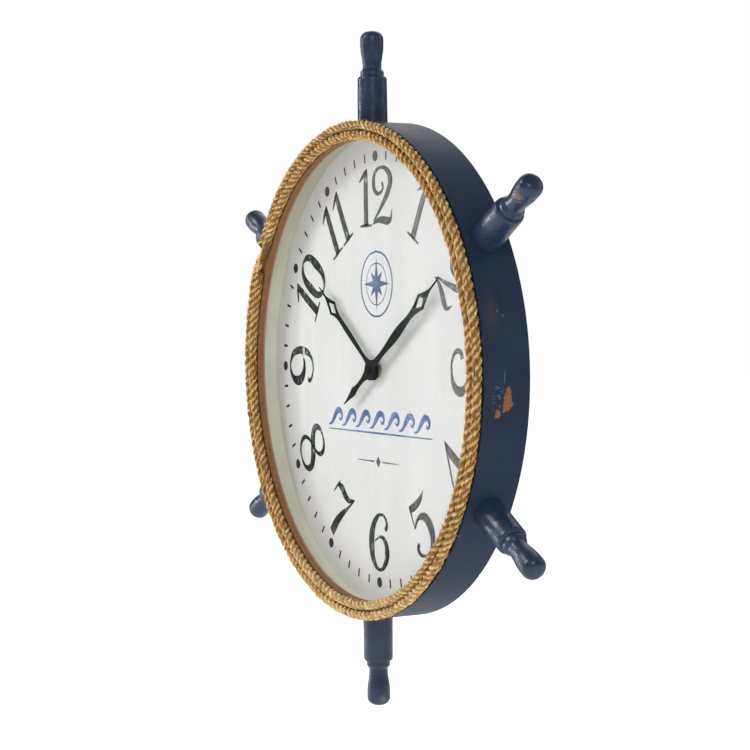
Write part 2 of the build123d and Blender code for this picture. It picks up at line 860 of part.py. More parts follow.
def motor_stator():
    """Soft iron plate: a frame round the rotor whose lower bar is the coil's core."""
    front, rear = stator_front_y(), stator_front_y() + stator_thickness
    right = bay_inner() - glue_gap
    left = coil_x() - coil_length / 2 - coil_flange - stator_web
    top = rotor_place[1] + rotor_magnet_radius + rotor_air_gap + stator_web / 2
    core_half = coil_core_width / 2
    plate = block(left, right, front, rear, -coil_drop - core_half, top)
    window_top = rotor_place[1] - rotor_magnet_radius - rotor_air_gap - stator_web / 2
    plate -= block(left + stator_web, right - stator_web, front - overrun, rear + overrun,
                   core_half - coil_drop, window_top)
    return plate - disc(rotor_magnet_radius + rotor_air_gap, front - overrun, rear + overrun,
                        rotor_place[0], rotor_place[1])


def motor_coil():
    y = stator_front_y() + stator_thickness / 2
    lie = Pos(coil_x(), y, -coil_drop) * Rot(0, 90, 0)
    body = Cylinder(coil_radius, coil_length)
    for side in (-1, 1):
        flange = Cylinder(coil_radius + coil_flange / 2, coil_flange)
        body += Pos(0, 0, side * (coil_length + coil_flange) / 2) * flange
    slot = Box(coil_core_width + 2 * fit, stator_thickness + 2 * fit, coil_length + 2 * overrun)
    return lie * (body - slot)


def circuit_board():
    """Board on the case's floor, with the chip under its drop of resin."""
    left = -bay_inner() + board_margin
    low = board_margin - partition_drop
    front = room_front_y + glue_gap
    rear = front + board_thickness
    board = block(left, left + board_width, front, rear, low, low + board_length)
    chip = Pos(left + board_width / 2, rear, low + board_length / 3) * Rot(-90, 0, 0) * Cone(
        chip_radius, chip_radius / 2, board_thickness, align=(Align.CENTER, Align.CENTER, Align.MIN))
    return board + chip


def crystal_can():
    left = -bay_inner() + board_margin
    low = board_margin - partition_drop + board_length * 3 / 5
    rear = room_front_y + glue_gap + board_thickness
    return Pos(left + board_width / 2, rear + crystal_radius + fit, low + crystal_length / 2) * Cylinder(
        crystal_radius, crystal_length)


parts = {
    "case_hoop": case_hoop,
    "front_ring": front_ring,
    "rim_rope": rim_rope,
    "glass": glass,
    "spacer_ring": spacer_ring,
    "dial_print": dial_print,
    "dial_board": dial_board,
    "hanger_block": hanger_block,
    "hanger_plate": hanger_plate,
    "movement_case": movement_case,
    "movement_cover": movement_cover,
    "shaft_bushing": shaft_bushing,
    "dial_gasket": dial_gasket,
    "dial_washer": dial_washer,
    "bushing_nut": bushing_nut,
    "battery": battery,
    "contact_positive": contact_positive,
    "contact_negative": contact_negative,
    "minute_hand": minute_hand,
    "minute_hand_collet": minute_collet,
    "hand_tip_nut": hand_tip_nut,
    "hour_hand": hour_hand,
    "hour_hand_collet": hour_collet,
    "minute_arbor": minute_arbor,
    "hour_wheel": hour_wheel,
    "minute_wheel": minute_wheel,
    "setting_knob": setting_knob,
    "centre_wheel": centre_wheel,
    "third_wheel": third_wheel,
    "fourth_wheel": fourth_wheel,
    "first_wheel": first_wheel,
    "rotor": rotor,
    "motor_stator": motor_stator,
    "motor_coil": motor_coil,
    "circuit_board": circuit_board,
    "crystal_can": crystal_can,
}

groups = {
    "handle_screws": lambda: round_pattern(lambda: handle_screw_body(0), handle_count),
    "board_clips": lambda: round_pattern(board_clip, clip_count, 180 / clip_count),
    "clip_screws": lambda: round_pattern(clip_screw, clip_count, 180 / clip_count),
    "hanger_screws": lambda: hanger_places(hanger_screw()),
}

os.makedirs("parts", exist_ok=True)
for name, make in parts.items():
    export_step(make(), f"parts/{name}.step")
for name, make in groups.items():
    export_step(Compound(children=make()), f"parts/{name}.step")
for i in range(handle_count):
    hour = 12 if i == 0 else i * 12 // handle_count
    export_step(at_clock(handle(), i * 360 / handle_count), f"parts/handle_{hour}_oclock.step")
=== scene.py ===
import random
from math import cos, pi, radians, sin

import bmesh
import bpy
from mathutils import Matrix, Vector


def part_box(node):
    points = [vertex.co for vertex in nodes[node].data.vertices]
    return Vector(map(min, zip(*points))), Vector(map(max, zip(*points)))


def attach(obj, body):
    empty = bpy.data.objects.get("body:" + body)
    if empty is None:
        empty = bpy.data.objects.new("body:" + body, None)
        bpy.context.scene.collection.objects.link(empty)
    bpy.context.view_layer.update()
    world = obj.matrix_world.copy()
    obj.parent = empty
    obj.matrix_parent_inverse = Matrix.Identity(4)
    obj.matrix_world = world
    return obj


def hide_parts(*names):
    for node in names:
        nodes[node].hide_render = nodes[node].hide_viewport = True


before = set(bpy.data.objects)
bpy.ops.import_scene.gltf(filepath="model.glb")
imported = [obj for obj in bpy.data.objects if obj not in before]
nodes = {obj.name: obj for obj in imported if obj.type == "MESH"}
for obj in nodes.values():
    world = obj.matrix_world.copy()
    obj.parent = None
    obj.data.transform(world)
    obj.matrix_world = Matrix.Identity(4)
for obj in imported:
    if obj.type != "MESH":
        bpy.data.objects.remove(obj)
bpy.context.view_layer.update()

MM = 0.001
dial_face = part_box("dial_print")[0].y
wall_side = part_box("case_hoop")[1].y
case_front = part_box("case_hoop")[0].y

# The hoop, and how deep the worn spots on its side reach into it, in metres
HOOP_RADIUS = 0.2226
SPOT_DEPTH = 0.05

# Printing on the dial, in metres, and the steps in each curve of the pen
DOT_TRACK = 0.1934
INK_THICKNESS = 0.00004
INK_LIFT = 0.00006
EMBLEM_LIFT = 0.00008
UNDERLINE_LIFT = 0.00009
MERGE_DISTANCE = 1e-7
PEN_SMOOTHNESS = 7

# Rope, in metres and clock degrees
ROPE_TURN = 0.2194
ROPE_STEP_IN = 0.0093
ROPE_DIAMETER = 0.0088
ROPE_SEAM = 302.5
ROPE_CROSSING = 6.0
ROPE_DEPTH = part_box("rim_rope")[0].y + ROPE_DIAMETER / 2


# Placing things on the clock

def on_dial(angle, radius, depth):
    """A point at a clock angle in degrees and a distance from the middle."""
    turn = radians(angle)
    return Vector((radius * sin(turn), depth, radius * cos(turn)))


def add_piece(name, mesh, body):
    piece = bpy.data.objects.new(name, mesh)
    bpy.context.scene.collection.objects.link(piece)
    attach(piece, body)
    return piece


def finished_mesh(curve):
    """The mesh that a curve makes, in the curve's own units."""
    maker = bpy.data.objects.new("maker", curve)
    bpy.context.scene.collection.objects.link(maker)
    settled = maker.evaluated_get(bpy.context.evaluated_depsgraph_get())
    mesh = bpy.data.meshes.new_from_object(settled)
    bpy.data.objects.remove(maker)
    return mesh


def shade_smooth(mesh):
    mesh.polygons.foreach_set("use_smooth", [True] * len(mesh.polygons))


# Camera, floor and light

def set_camera():
    """The camera of the photo: its angles in radians, its place and the lens that was fitted to it."""
    turn, rise, roll = 1.07837883, 0.0339977, 0.0108670
    distance, across, up_shift = 1.612024, 0.0231798, -0.0040373
    aim = Vector((0, -0.0223, 0))
    back = Vector((sin(turn) * cos(rise), -cos(turn) * cos(rise), sin(rise)))
    right = Vector((0, 0, 1)).cross(back).normalized()
    up = back.cross(right)
    x_axis = right * cos(roll) - up * sin(roll)
    y_axis = right * sin(roll) + up * cos(roll)
    place = right * across + up * up_shift + back * distance + aim
    data = bpy.data.cameras.new("camera")
    data.lens = 86.0707
    data.sensor_width = 36
    data.clip_start = 0.05
    data.clip_end = 50
    camera = bpy.data.objects.new("camera", data)
    aimed = Matrix((x_axis, y_axis, back)).transposed().to_4x4()
    camera.matrix_world = Matrix.Translation(place) @ aimed
    bpy.context.scene.collection.objects.link(camera)
    bpy.context.scene.camera = camera


def soft_lamp(name, place, aim, size, power, tall=None):
    """A round lamp, or an upright strip where tall is given."""
    data = bpy.data.lights.new(name, "AREA")
    data.shape = "RECTANGLE" if tall else "DISK"
    data.size = size
    if tall:
        data.size_y = tall
    data.energy = power
    lamp = bpy.data.objects.new(name, data)
    lamp.location = place
    lamp.rotation_mode = "QUATERNION"
    lamp.rotation_quaternion = (Vector(aim) - Vector(place)).to_track_quat("-Z", "Y")
    bpy.context.scene.collection.objects.link(lamp)


def set_studio():
    """White paper behind the clock, in a room that is dark in reflections."""
    room, in_gloss, behind = 0.50, 0.12, 1.0
    scene = bpy.context.scene
    scene.view_settings.view_transform = "Standard"
    world = bpy.data.worlds.new("studio")
    scene.world = world
    world.use_nodes = True
    tree = world.node_tree
    seen = tree.nodes.new("ShaderNodeLightPath")
    shown = tree.nodes["Background"]
    shown.inputs["Color"].default_value = (1, 1, 1, 1)
    shown.inputs["Strength"].default_value = room
    shown = shown.outputs[0]
    for ray, strength in (("Is Glossy Ray", in_gloss), ("Is Camera Ray", behind)):
        other = tree.nodes.new("ShaderNodeBackground")
        other.inputs["Color"].default_value = (1, 1, 1, 1)
        other.inputs["Strength"].default_value = strength
        mix = tree.nodes.new("ShaderNodeMixShader")
        tree.links.new(seen.outputs[ray], mix.inputs[0])
        tree.links.new(shown, mix.inputs[1])
        tree.links.new(other.outputs[0], mix.inputs[2])
        shown = mix.outputs[0]
    tree.links.new(shown, tree.nodes["World Output"].inputs["Surface"])
    soft_lamp("key", (-0.9, -2.0, 1.7), (0, 0, 0), size=1.0, power=21)
    soft_lamp("strip", (-2.05, -1.43, 0.2), (0, 0, 0), size=0.4, power=17, tall=1.5)
    soft_lamp("side", (2.4, -1.0, 1.3), (0.1, 0, 0), size=1.2, power=10)
    soft_lamp("over_shoulder", (-1.6, 1.2, 1.7), (0, 0, 0), size=2.2, power=16)
    soft_lamp("rear", (0.8, 2.4, 1.4), (0, 0, 0), size=1.6, power=8)


def lay_floor():
    """A wide pale floor, a little darker in the gloss of the paint than it is seen."""
    radius, height = 14, -0.52
    work = bmesh.new()
    bmesh.ops.create_circle(work, cap_ends=True, segments=64, radius=radius)
    bmesh.ops.translate(work, verts=work.verts, vec=(0, 0, height))
    mesh = bpy.data.meshes.new("floor")
    work.to_mesh(mesh)
    work.free()
    floor = bpy.data.objects.new("floor", mesh)
    bpy.context.scene.collection.objects.link(floor)
    paint = Finish("pale_floor", rough=0.9, specular=0.0)
    rays = paint.node("LightPath", {}).outputs
    paint.colour(paint.mixed(rays["Is Glossy Ray"], (0.94, 0.94, 0.94), (0.72, 0.72, 0.72)))
    paint.set("Emission Color", (1, 1, 1, 1))
    paint.feed("Emission Strength", paint.between(rays["Is Camera Ray"], 0, 1, 0.30, 0.62))
    mesh.materials.append(paint.material)


# Finishes. Each one is mixed from noise on Object coordinates, in metres, and the rope's also
# from its UV map. A colour is (red, green, blue).

class Finish:
    def __init__(self, name, rough=0.5, metal=0.0, specular=0.5, coat=0.0, coat_rough=0.1):
        self.material = bpy.data.materials.new(name)
        self.material.use_nodes = True
        self.tree = self.material.node_tree
        self.shader = self.tree.nodes["Principled BSDF"]
        self.place = self.tree.nodes.new("ShaderNodeTexCoord").outputs["Object"]
        self.set("Roughness", rough)
        self.set("Metallic", metal)
        self.set("Specular IOR Level", specular)
        if coat:
            self.set("Coat Weight", coat)
            self.set("Coat Roughness", coat_rough)

    def set(self, socket, value):
        self.shader.inputs[socket].default_value = value

    def feed(self, socket, output):
        self.tree.links.new(output, self.shader.inputs[socket])

    def node(self, kind, inputs, **options):
        made = self.tree.nodes.new("ShaderNode" + kind)
        for key, value in options.items():
            setattr(made, key, value)
        for key, value in inputs.items():
            if isinstance(value, bpy.types.NodeSocket):
                self.tree.links.new(value, made.inputs[key])
            elif value is not None:
                made.inputs[key].default_value = value
        return made

    def stretched(self, scale, source=None):
        return self.node("Mapping", {"Vector": source or self.place, "Scale": scale}).outputs[0]

    def grain(self, size, detail, source=None, lumps=0.55, seed=0.0):
        """Noise from 0 to 1 whose lumps are about size across, in metres."""
        made = self.node(
            "TexNoise",
            {
                "Vector": source or self.place, "W": seed,
                "Scale": 1 / size, "Detail": detail, "Roughness": lumps,
            },
            noise_dimensions="4D",
        )
        return made.outputs["Fac"]

    def between(self, value, low, high, to_low=0.0, to_high=1.0):
        """Value stretched so that low becomes to_low and high to_high."""
        made = self.node(
            "MapRange",
            {0: value, "From Min": low, "From Max": high, "To Min": to_low, "To Max": to_high},
        )
        return made.outputs[0]

    def maths(self, operation, first, second=None):
        return self.node("Math", {0: first, 1: second}, operation=operation).outputs[0]

    def vector_maths(self, operation, first, second=None):
        return self.node("VectorMath", {0: first, 1: second}, operation=operation).outputs

    def chained(self, operation, masks):
        out = masks[0]
        for mask in masks[1:]:
            out = self.maths(operation, out, mask)
        return out

    def both(self, *masks):
        return self.chained("MULTIPLY", masks)

    def either(self, *masks):
        return self.chained("MAXIMUM", masks)

    def mixed(self, share, first, second):
        """Two colours mixed by a share from 0 to 1."""
        made = self.node("Mix", {0: share, 6: as_colour(first), 7: as_colour(second)}, data_type="RGBA")
        return made.outputs[2]

    def washed(self, tone, mask, share, over):
        """A tone with a share of another colour over it where the mask is 1."""
        return self.mixed(self.between(mask, 0, 1, 0, share), tone, over)

    def parts(self):
        """The place's x, y and z."""
        return self.node("SeparateXYZ", {0: self.place}).outputs

    def near(self, centre, reach, blur=0.3):
        """1 inside a lump about a point, 0 outside it."""
        moved = self.vector_maths("SUBTRACT", self.place, centre)[0]
        shape = self.vector_maths("DIVIDE", moved, reach)[0]
        length = self.vector_maths("LENGTH", shape)["Value"]
        return self.between(length, 1 + blur, 1 - blur)

    def off_axis(self):
        """Distance from the hands' axis."""
        flat = self.vector_maths("MULTIPLY", self.place, (1, 0, 1))[0]
        return self.vector_maths("LENGTH", flat)["Value"]

    def colour(self, tone):
        self.feed("Base Color", tone)

    def rough(self, value):
        self.feed("Roughness", value)

    def bump(self, *layers):
        """Layers of (height from 0 to 1, depth in metres), one over the other."""
        normal = None
        for height, depth in layers:
            inputs = {"Height": height, "Strength": 1.0, "Distance": depth, "Normal": normal}
            normal = self.node("Bump", inputs).outputs[0]
        self.feed("Normal", normal)


def as_colour(value):
    return value if isinstance(value, bpy.types.NodeSocket) else (*value, 1.0)


def bare_timber(name, light, dark, across):
    """Planed softwood: long grain along one axis, with fine pores."""
    wood = Finish(name, rough=0.72)
    run = wood.stretched(across)
    rings = wood.grain(0.006, 5, run)
    pores = wood.grain(0.0012, 3, run, seed=4.0)
    tone = wood.between(rings, 0.3, 0.7)
    wood.colour(wood.mixed(wood.between(pores, 0.62, 0.75, 0, 0.5), wood.mixed(tone, dark, light), dark))
    wood.rough(wood.between(rings, 0.3, 0.7, 0.62, 0.8))
    wood.bump((pores, 0.0004), (rings, 0.0003))
    return wood.material


def plated(name, colour, rough):
    """Bright metal with a faint cloud and fine scratches."""
    metal = Finish(name, metal=1.0)
    cloud = metal.grain(0.004, 4)
    scratch = metal.grain(0.0006, 2, metal.stretched((1, 1, 12)), seed=2.0)
    dull = tuple(0.72 * c for c in colour)
    metal.colour(metal.mixed(metal.between(cloud, 0.35, 0.7), dull, colour))
    metal.rough(metal.between(cloud, 0.3, 0.7, rough - 0.08, rough + 0.12))
    metal.bump((scratch, 0.00004), (cloud, 0.00006))
    return metal.material


def moulded(name, colour, rough, size=0.0006):
    """Moulded plastic or rubber with a fine spark-eroded skin."""
    skin = Finish(name)
    fine = skin.grain(size, 2)
    cloud = skin.grain(0.02, 3, seed=5.0)
    light = tuple(min(1.0, c * 1.15 + 0.003) for c in colour)
    dark = tuple(0.86 * c for c in colour)
    skin.colour(skin.mixed(cloud, dark, light))
    skin.rough(skin.between(cloud, 0.3, 0.7, rough - 0.07, rough + 0.1))
    skin.bump((fine, 0.00006))
    return skin.material


def bare_patch(paint, chip, fleck):
    """1 on the ragged patch of the side that is rubbed down to the board."""
    middle = paint.either(
        paint.near((0.221, 0.0058, -0.0140), (SPOT_DEPTH, 0.0027, 0.0062), 0.9),
        paint.near((0.221, 0.0048, -0.0215), (SPOT_DEPTH, 0.0046, 0.0078), 0.9),
        paint.near((0.221, -0.0038, -0.0300), (SPOT_DEPTH, 0.0024, 0.0036), 0.9),
    )
    ragged = paint.maths("ADD", middle, paint.maths("MULTIPLY", chip, 0.9))
    ragged = paint.maths("ADD", ragged, paint.maths("MULTIPLY", fleck, 0.8))
    return paint.between(ragged, 1.33, 1.37)


def pale_scratches(paint, fleck):
    """1 on three small scratches of the side and a few flecks by the front edge between 12 and 1."""
    return paint.either(
        paint.near((0.2166, -0.0012, 0.0523), (SPOT_DEPTH, 0.0007, 0.0007)),
        paint.near((0.2170, 0.0037, 0.0484), (SPOT_DEPTH, 0.0006, 0.0011)),
        paint.near((0.2225, 0.0018, -0.0010), (SPOT_DEPTH, 0.0003, 0.0050)),
        paint.both(
            paint.near((0.060, case_front + 0.008, 0.214), (0.012, 0.006, 0.02)),
            paint.between(fleck, 0.56, 0.60),
        ),
    )


def case_paint():
    """Navy paint rubbed through at the edges, with a rusty bare patch on the side; bare board inside."""
    paint = Finish("navy_paint", specular=0.13)
    cloud = paint.grain(0.07, 4)
    brush = paint.grain(0.004, 3, paint.stretched((0.25, 1, 0.25)), seed=3.0)
    share = paint.between(cloud, 0.35, 0.7)
    navy = paint.mixed(share, (0.0140, 0.0275, 0.060), (0.0215, 0.041, 0.079))
    navy = paint.mixed(paint.between(brush, 0.45, 0.75, 0, 0.25), navy, (0.026, 0.045, 0.078))
    chip = paint.grain(0.006, 5, lumps=0.7, seed=7.0)
    speck = paint.grain(0.0022, 3, lumps=0.6, seed=9.0)
    y = paint.parts()[1]
    front_edge = paint.between(y, case_front + 0.010, case_front + 0.001)
    rear_edge = paint.between(y, wall_side - 0.006, wall_side - 0.0008)
    edge_wear = paint.both(paint.either(front_edge, rear_edge), paint.between(chip, 0.58, 0.64))
    fleck = paint.grain(0.0013, 3, paint.stretched((1, 0.45, 1.3)), seed=15.0)
    scuffed = paint.both(
        paint.near((0.222, -0.0035, -0.0200), (SPOT_DEPTH, 0.0055, 0.0120), 0.4),
        paint.between(chip, 0.40, 0.47),
        paint.between(fleck, 0.52, 0.57),
    )
    patch = bare_patch(paint, chip, fleck)
    smudge = paint.both(
        paint.near((0.2166, -0.0069, 0.0515), (SPOT_DEPTH, 0.0055, 0.0120), 0.8),
        paint.between(chip, 0.3, 0.6),
    )
    top_rub = paint.both(
        paint.near((0.080, -0.0050, 0.2075), (0.017, 0.0095, 0.012), 0.6),
        paint.between(chip, 0.42, 0.55),
    )
    pale = pale_scratches(paint, fleck)
    speckled_area = paint.between(paint.grain(0.05, 2, seed=6.0), 0.5, 0.62)
    speckle = paint.both(paint.between(speck, 0.72, 0.76), speckled_area)
    outer = paint.washed(navy, speckle, 0.8, (0.12, 0.11, 0.10))
    outer = paint.washed(outer, smudge, 0.60, (0.095, 0.066, 0.048))
    outer = paint.washed(outer, top_rub, 0.55, (0.165, 0.120, 0.085))
    outer = paint.washed(outer, paint.either(scuffed, pale), 0.75, (0.17, 0.20, 0.25))
    outer = paint.washed(outer, edge_wear, 0.6, (0.075, 0.045, 0.03))
    rust = paint.mixed(paint.between(speck, 0.3, 0.7), (0.22, 0.085, 0.040), (0.33, 0.145, 0.075))
    outer = paint.mixed(patch, outer, rust)
    fibre = paint.grain(0.0018, 5, seed=11.0)
    board = paint.mixed(fibre, (0.23, 0.14, 0.07), (0.36, 0.24, 0.13))
    inside = paint.both(
        paint.between(paint.off_axis(), HOOP_RADIUS - 0.0052, HOOP_RADIUS - 0.0060),
        paint.between(y, wall_side - 0.002, wall_side - 0.004),
    )
    paint.colour(paint.mixed(inside, outer, board))
    worn = paint.either(patch, edge_wear, scuffed, inside)
    sound_paint = paint.between(cloud, 0.3, 0.7, 0.38, 0.5)
    paint.rough(paint.either(sound_paint, paint.between(worn, 0, 1, 0, 0.78)))
    paint.bump((paint.between(worn, 1, 0), 0.0003), (brush, 0.00018), (fibre, 0.00005))
    return paint.material


def handle_paint():
    """A like navy, glossier, with speckles and a few rubbed spots on the knobs and rings."""
    paint = Finish("handle_paint", specular=0.52)
    cloud = paint.grain(0.03, 4)
    chip = paint.grain(0.005, 5, lumps=0.7, seed=2.0)
    speck = paint.grain(0.0018, 3, lumps=0.6, seed=8.0)
    radius = paint.off_axis()
    share = paint.between(cloud, 0.35, 0.7)
    navy = paint.mixed(share, (0.015, 0.030, 0.065), (0.025, 0.048, 0.098))
    tip_zone = paint.between(radius, 0.283, 0.300)
    collar_zone = paint.both(
        paint.between(radius, 0.262, 0.2645),
        paint.between(radius, 0.2705, 0.268),
    )
    rubbed = paint.both(paint.either(tip_zone, collar_zone), paint.between(chip, 0.60, 0.67))
    spots = paint.either(
        paint.near((0.2524, -0.0009, 0.1417), (0.0046, 0.0046, 0.0046), 0.5),
        paint.near((0.0095, 0.0040, -0.2985), (0.0026, 0.0036, 0.0032), 0.5),
    )
    spots = paint.both(spots, paint.between(chip, 0.40, 0.50, 0, 0.85))
    speckled_area = paint.between(paint.grain(0.02, 2, seed=6.0), 0.46, 0.58)
    speckle = paint.both(paint.between(speck, 0.70, 0.74), speckled_area)
    tone = paint.washed(navy, speckle, 0.7, (0.22, 0.20, 0.17))
    tone = paint.washed(tone, rubbed, 0.7, (0.13, 0.075, 0.04))
    above_lowest = paint.between(paint.parts()[2], -0.27, -0.24)
    spot_colour = paint.mixed(above_lowest, (0.13, 0.15, 0.09), (0.34, 0.215, 0.085))
    paint.colour(paint.mixed(spots, tone, spot_colour))
    worn = paint.either(rubbed, spots)
    lumps = paint.grain(0.0055, 3, paint.stretched((1, 1, 0.6)), seed=14.0)
    sound_paint = paint.between(lumps, 0.35, 0.65, 0.20, 0.46)
    paint.rough(paint.either(sound_paint, paint.between(worn, 0, 1, 0, 0.7)))
    fine = paint.grain(0.0016, 3, seed=12.0)
    paint.bump((paint.between(worn, 1, 0), 0.00025), (lumps, 0.00036), (fine, 0.00002))
    return paint.material


def dial_paper():
    """Off-white print of old whitewashed boards: cloudy grey, faint streaks and fine grain."""
    paper = Finish("dial_paper", rough=0.62, specular=0.1)
    streak = paper.grain(0.020, 5, paper.stretched((1, 1, 0.22)))
    fine = paper.grain(0.0030, 3, paper.stretched((1, 1, 0.16)), seed=3.0)
    cloud = paper.grain(0.050, 4, seed=5.0)
    speck = paper.grain(0.0021, 3, seed=8.0)
    share = paper.between(streak, 0.32, 0.70)
    tone = paper.mixed(share, (0.735, 0.745, 0.73), (0.80, 0.80, 0.795))
    tone = paper.mixed(paper.between(fine, 0.52, 0.75, 0, 0.30), tone, (0.66, 0.67, 0.66))
    tone = paper.mixed(paper.between(cloud, 0.48, 0.72, 0, 0.35), tone, (0.68, 0.69, 0.67))
    tone = paper.mixed(paper.between(speck, 0.70, 0.76, 0, 0.35), tone, (0.40, 0.40, 0.38))
    paper.colour(tone)
    paper.rough(paper.between(cloud, 0.3, 0.7, 0.55, 0.7))
    paper.bump((fine, 0.00003))
    return paper.material


def worn_ink(name, dark, light, wear, paling=0.0):
    """Printing ink worn through to the paper in streaks and specks; paling is its share at 2 o'clock."""
    ink = Finish(name, rough=0.6, specular=0.03)
    streak = ink.grain(0.0030, 4, ink.stretched((1, 1, 0.35)), lumps=0.65, seed=1.0)
    speck = ink.grain(0.0009, 3, seed=4.0)
    holes = ink.maths("ADD", streak, ink.maths("MULTIPLY", speck, 0.6))
    gone = ink.between(holes, wear, wear + 0.10)
    crack = ink.near((-0.1518, dial_face, 0.0140), (0.0023, 0.02, 0.0120), 0.25)
    crack = ink.both(crack, ink.between(ink.parts()[2], 0.0072, 0.0090))
    gone = ink.either(gone, crack)
    fade = ink.grain(0.035, 3, seed=7.0)
    tone = ink.mixed(ink.between(speck, 0.3, 0.7), dark, light)
    faded = ink.either(
        ink.between(fade, 0.45, 0.65, 0, 0.5),
        ink.between(ink.near((0, dial_face, DOT_TRACK), (0.008, 0.008, 0.008)), 0, 1, 0, 0.9),
    )
    tone = ink.mixed(faded, tone, tuple(2.2 * c + 0.03 for c in light))
    if paling:
        towards_two = ink.vector_maths("DOT_PRODUCT", ink.place, (0.8, 0, 0.6))["Value"]
        pale_share = ink.between(towards_two, -0.05, 0.16, 0, paling)
        tone = ink.mixed(pale_share, tone, tuple(1.4 * c + 0.15 for c in light))
    ink.colour(ink.washed(tone, gone, 0.85, (0.70, 0.71, 0.70)))
    ink.rough(ink.between(speck, 0.3, 0.7, 0.5, 0.68))
    ink.bump((speck, 0.00003))
    return ink.material


def jute():
    """Twisted jute: pale and brown flecks along the yarns, painted shade where they dip between the
    strands, and painted light towards the bottom of the rope.
    """
    fibre = Finish("jute", rough=0.88, specular=0.15)
    along = fibre.node("UVMap", {}, uv_map="UVMap").outputs[0]
    hair = fibre.grain(1.0, 3, fibre.stretched((900, 7, 1), along), seed=3.0)
    fleck = fibre.grain(0.0030, 3, lumps=0.6, seed=1.0)
    pale = fibre.grain(0.0024, 3, seed=4.0)
    brown = fibre.grain(0.0044, 3, seed=9.0)
    cloud = fibre.grain(0.014, 3, seed=5.0)
    deep, up = fibre.parts()[1:3]
    from_turn = fibre.maths("SUBTRACT", fibre.off_axis(), ROPE_TURN)
    from_inner = fibre.maths("ADD", from_turn, ROPE_STEP_IN)
    from_turn = fibre.maths("ABSOLUTE", from_turn)
    sideways = fibre.maths("MINIMUM", from_turn, fibre.maths("ABSOLUTE", from_inner))
    depth = fibre.maths("SUBTRACT", deep, ROPE_DEPTH)
    squares = [fibre.maths("MULTIPLY", way, way) for way in (sideways, depth)]
    from_heart = fibre.maths("SQRT", fibre.maths("ADD", *squares))
    # Painted shade: darker where the surface lies near the rope's heart, between the strands and between
    # the two turns
    groove_shade = fibre.between(from_heart, 0.0040, 0.0029)
    tone = fibre.mixed(fibre.between(fleck, 0.30, 0.58), (0.60, 0.275, 0.060), (1.0, 0.66, 0.240))
    tone = fibre.mixed(fibre.between(hair, 0.50, 0.68, 0, 0.5), tone, (1.0, 0.74, 0.31))
    # Painted light: the rope's colour is lighter towards the bottom, standing in for light that falls on
    # it from below
    tone = fibre.mixed(fibre.between(up, -0.15, -0.21, 0, 0.85), tone, (1.0, 0.74, 0.35))
    tone = fibre.mixed(fibre.between(cloud, 0.44, 0.62, 0, 0.40), tone, (0.58, 0.25, 0.060))
    tone = fibre.mixed(fibre.between(pale, 0.54, 0.61, 0, 0.65), tone, (1.0, 0.80, 0.44))
    tone = fibre.mixed(fibre.between(brown, 0.55, 0.62, 0, 0.65), tone, (0.20, 0.078, 0.018))
    # The share of painted shade in the gaps is smaller towards the bottom of the rope
    groove_shade_share = fibre.between(up, -0.14, -0.21, 0.86, 0.55)
    tone = fibre.mixed(fibre.both(groove_shade, groove_shade_share), tone, (0.125, 0.052, 0.014))
    fibre.colour(tone)
    fibre.set("Sheen Weight", 0.08)
    fibre.set("Sheen Roughness", 0.5)
    fibre.rough(fibre.between(hair, 0.3, 0.7, 0.78, 0.94))
    fibre.bump((fleck, 0.0005), (hair, 0.0004))
    return fibre.material


def jute_hair():
    """Single stray fibres, pale to tan along the rope."""
    hair = Finish("jute_hair", rough=0.8, specular=0.25)
    tone = hair.grain(0.004, 3)
    share = hair.between(tone, 0.3, 0.7)
    hair.colour(hair.mixed(share, (0.50, 0.27, 0.075), (0.98, 0.68, 0.30)))
    hair.rough(hair.between(tone, 0.3, 0.7, 0.7, 0.9))
    hair.bump((tone, 0.00002))
    return hair.material


def ring_stain():
    """Brown stain with a pale line against the glass."""
    stain = Finish("brown_ring", rough=0.7, specular=0.2)
    run = stain.grain(0.003, 4)
    tone = stain.mixed(stain.between(run, 0.3, 0.7), (0.225, 0.102, 0.040), (0.34, 0.168, 0.070))
    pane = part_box("glass")[0].y
    rear_edge = stain.between(stain.parts()[1], pane - 0.0022, pane - 0.0004)
    stain.colour(stain.washed(tone, rear_edge, 0.75, (0.46, 0.36, 0.25)))
    stain.rough(stain.between(run, 0.3, 0.7, 0.5, 0.75))
    stain.bump((run, 0.0001))
    return stain.material


def cream_wall():
    """Cream board lining, in shade at the top, with a thin darker cut edge against the dial."""
    card = Finish("cream_lining", rough=0.7)
    cloud = card.grain(0.03, 4)
    fine = card.grain(0.0012, 3, seed=2.0)
    tone = card.mixed(card.between(cloud, 0.35, 0.7), (0.75, 0.76, 0.63), (0.84, 0.85, 0.72))
    y, z = card.parts()[1:3]
    # Painted shade: the lining is darker towards the top of the clock
    tone = card.mixed(card.between(z, 0.05, 0.17, 0, 0.75), tone, (0.47, 0.46, 0.36))
    edge = card.between(y, dial_face - 0.0009, dial_face - 0.0003)
    card.colour(card.washed(tone, edge, 0.25, (0.30, 0.29, 0.25)))
    card.rough(card.between(cloud, 0.3, 0.7, 0.6, 0.78))
    card.bump((fine, 0.00004))
    return card.material


def clear_pane():
    """Thin clean glass with a breath of dust."""
    pane = Finish("clear_glass", rough=0.04)
    dust = pane.grain(0.05, 4)
    pane.colour(pane.mixed(pane.between(dust, 0.3, 0.7), (0.05, 0.08, 0.07), (0.12, 0.16, 0.15)))
    pane.rough(pane.between(dust, 0.3, 0.8, 0.02, 0.10))
    pane.bump((pane.grain(0.06, 2, seed=3.0), 0.00005))
    pane.set("Alpha", 0.03)
    return pane.material


def hand_black():
    """Stamped hands in satin black, a little cloudy."""
    black = Finish("hand_black", specular=0.02)
    cloud = black.grain(0.006, 4)
    share = black.between(cloud, 0.3, 0.7)
    black.colour(black.mixed(share, (0.005, 0.005, 0.005), (0.013, 0.013, 0.013)))
    black.rough(black.between(cloud, 0.3, 0.7, 0.40, 0.55))
    black.bump((black.grain(0.0012, 3, seed=2.0), 0.00004))
    return black.material


